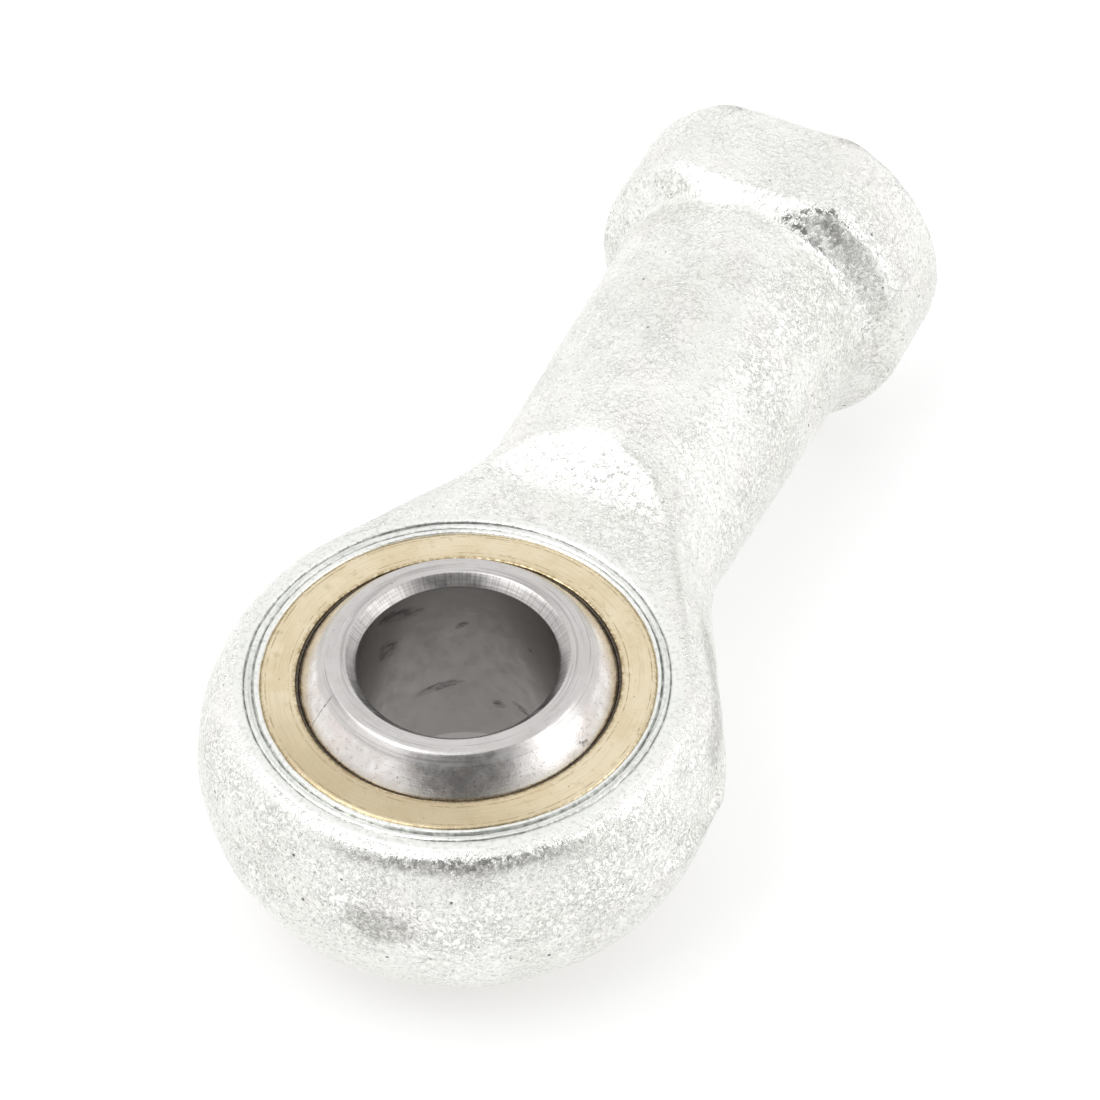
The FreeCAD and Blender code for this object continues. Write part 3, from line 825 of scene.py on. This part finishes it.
def build_ball(material):
    face_r = math.sqrt(BALL_R ** 2 - BALL_HALF ** 2)
    low = BALL_HALF - BORE_CHAMFER
    wide = BORE_CHAMFER - 0.09
    wall = [(BORE_R, z) for z in np.linspace(0.9, low - 0.05, 9)]
    mouth = arc(BORE_R + 0.09, low - 0.04, 0.09, 180, 135, 4)
    chamfer = [(BORE_R + 0.03 + t * wide, low + 0.03 + t * wide) for t in (0.0, 0.33, 0.66, 1.0)]
    top = [(BORE_R + BORE_CHAMFER + 0.02, BALL_HALF - 0.006)]
    face = np.linspace(BORE_R + BORE_CHAMFER + 0.07, face_r - FACE_BREAK - 0.02, 8)
    top += [(r, BALL_HALF) for r in face]
    start = math.degrees(math.asin((BALL_HALF - FACE_BREAK * 0.55) / BALL_R))
    shoulder = [(face_r - 0.09, BALL_HALF - 0.012), (face_r + 0.01, BALL_HALF - 0.045)]
    sphere = arc(0, 0, BALL_R, start, 0.0, 70)
    upper = wall + mouth + chamfer + top + shoulder + sphere[:-1]
    outline = mirrored(upper) + [(BALL_R, 0.0)]
    return lathe("ball_ring", outline[::-1], 320, material, angle=28.0)


def build_thread(material):
    """M12 x 1.75 female thread, cut from the countersunk mouth down to its runout."""
    segments, per_pitch = 144, 28
    top = END_Y - 0.22
    count = int((top - DRILL_END) / PITCH * per_pitch)
    y = np.linspace(DRILL_END, top, count)
    turn = np.linspace(0, 2 * math.pi, segments, endpoint=False)
    phase = (y[None, :] / PITCH - turn[:, None] / (2 * math.pi)) % 1.0
    rise = np.clip((np.abs(phase - 0.5) - 0.0625) / (0.5 - 0.0625 - 0.125), 0, 1)
    depth = THREAD_MAJOR - THREAD_CORE
    r = THREAD_MAJOR - depth * rise
    fade = np.clip((y - THREAD_START) / (1.5 * PITCH), 0, 1)
    r = THREAD_CORE + (r - THREAD_CORE) * fade[None, :]
    cone = MOUTH_R - (END_Y - y)
    r = np.maximum(r, cone[None, :])
    outer = THREAD_MAJOR + 0.22
    rows = np.concatenate([r, np.full((segments, 2), outer)], 1)
    heights = np.concatenate([y, [top, DRILL_END]])
    n = len(heights)
    s, c = np.sin(turn)[:, None], np.cos(turn)[:, None]
    p = np.stack([rows * s, np.repeat(heights[None, :], segments, 0), rows * c], -1).reshape(-1, 3)
    i = np.arange(segments)[:, None]
    j = np.arange(n)[None, :]
    i2, j2 = (i + 1) % segments, (j + 1) % n
    faces = np.stack([i * n + j, i * n + j2, i2 * n + j2, i2 * n + j], -1).reshape(-1, 4)
    return mesh_object("shank_thread", p, faces, material, 50.0)


zinc = zinc_material()
staked = lip_material()

housing = build_housing(zinc)
lips = [build_lips(1, staked), build_lips(-1, staked)]
thread = build_thread(staked)
for piece in [housing, thread] + lips:
    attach(piece, "rod_end")
    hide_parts("rod_end_body")

race = build_race(brass_material())
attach(race, "rod_end")
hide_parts("outer_race")

liner = build_liner(liner_material())
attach(liner, "rod_end")
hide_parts("ptfe_liner")

ball = build_ball(ball_material())
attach(ball, "ball")
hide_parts("ball")


# ---------------------------------------------------------------- floor, light and camera
def plane(name, size, height, material):
    half = size / 2
    corners = ((-half, -half), (half, -half), (half, half), (-half, half))
    points = [(x, y, height) for x, y in corners]
    return mesh_object(name, points, [(0, 1, 2, 3)], material)


floor = plane("floor", 3000.0, FLOOR_Z, floor_material())
floor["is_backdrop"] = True


def area_light(name, place, target, size, power):
    data = bpy.data.lights.new(name, "AREA")
    data.shape = "RECTANGLE"
    data.size, data.size_y = size
    data.energy = power
    made = bpy.data.objects.new(name, data)
    bpy.context.scene.collection.objects.link(made)
    made.location = place
    made.rotation_euler = (Vector(target) - Vector(place)).to_track_quat("-Z", "Y").to_euler()
    return made


area_light("left_soft", (-0.30, -0.30, 0.68), (0, 0.01, 0), (0.60, 0.60), 2.0)
area_light("right_soft", (0.70, 0.14, 0.42), (0, 0.01, 0), (0.50, 0.50), 1.1)

def white_tent():
    """White surroundings with the opening of the light tent: an unlit oval in the white walls."""
    world = bpy.data.worlds.new("studio")
    world.use_nodes = True
    nodes, links = world.node_tree.nodes, world.node_tree.links
    sky = nodes["Background"]
    coords = nodes.new("ShaderNodeTexCoord")

    def compute(operation, a, b):
        node = nodes.new("ShaderNodeMath")
        node.operation = operation
        for socket, value in zip(node.inputs, (a, b)):
            if isinstance(value, float):
                socket.default_value = value
            else:
                links.new(value, socket)
        return node.outputs[0]

    def towards(direction):
        node = nodes.new("ShaderNodeVectorMath")
        node.operation = "DOT_PRODUCT"
        node.inputs[1].default_value = direction
        links.new(coords.outputs["Generated"], node.inputs[0])
        return node.outputs["Value"]

    turn, rise = math.radians(29.0), math.radians(38.0)
    half_width, half_height = math.sin(math.radians(42.0)), math.sin(math.radians(36.0))
    across = Vector((math.cos(turn), math.sin(turn), 0))
    level = math.cos(rise)
    middle = Vector((math.sin(turn) * level, -math.cos(turn) * level, math.sin(rise)))
    u = compute("DIVIDE", towards(across), half_width)
    v = compute("DIVIDE", towards(middle.cross(across)), half_height)
    far = compute("ADD", compute("MULTIPLY", u, u), compute("MULTIPLY", v, v))
    behind = compute("LESS_THAN", towards(middle), 0.0)
    far = compute("ADD", far, compute("MULTIPLY", behind, 4.0))
    ramp = nodes.new("ShaderNodeMapRange")
    ramp.interpolation_type = "SMOOTHSTEP"
    ramp.inputs["From Min"].default_value = 0.35
    ramp.inputs["From Max"].default_value = 1.1
    ramp.inputs["To Min"].default_value = 0.16
    ramp.inputs["To Max"].default_value = 1.0
    links.new(far, ramp.inputs["Value"])
    links.new(ramp.outputs["Result"], sky.inputs["Strength"])
    sky.inputs["Color"].default_value = (1, 1, 1, 1)
    bpy.context.scene.world = world


white_tent()

# where the camera looks from, and where the ball's centre lies in front of it, in mm
VIEW_TURN, VIEW_RISE, VIEW_ROLL = 26.127, 46.455, -1.217
BALL_SEEN_AT = (-5.310, -11.609, -277.193)
LENS = 151.37672727


def view_axes(turn, rise, roll):
    """Rows: the camera's right, up and backward directions."""
    a, e, g = math.radians(turn), math.radians(rise), math.radians(roll)
    back = Vector((math.sin(a) * math.cos(e), -math.cos(a) * math.cos(e), math.sin(e)))
    right = Vector((0, 0, 1)).cross(back).normalized()
    up = back.cross(right)
    rolled_right = right * math.cos(g) + up * math.sin(g)
    rolled_up = -right * math.sin(g) + up * math.cos(g)
    return Matrix((rolled_right, rolled_up, back))


camera_data = bpy.data.cameras.new("camera")
camera_data.sensor_width = 36.0
camera_data.lens = LENS
camera_data.clip_start = 0.01
camera_data.clip_end = 10.0
camera = bpy.data.objects.new("camera", camera_data)
bpy.context.scene.collection.objects.link(camera)
to_world = view_axes(VIEW_TURN, VIEW_RISE, VIEW_ROLL).transposed()
place = to_world @ (Vector(BALL_SEEN_AT) * -MM)
camera.matrix_world = Matrix.Translation(place) @ to_world.to_4x4()
bpy.context.scene.camera = camera

bpy.context.scene.view_settings.view_transform = "Standard"
bpy.context.scene.view_settings.look = "None"

visual_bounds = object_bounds()


def plain(value):
    if isinstance(value, (int, float, str)):
        return value
    return [plain(v) for v in value]


{"cad": plain(cad_bounds), "visual": plain(visual_bounds)}
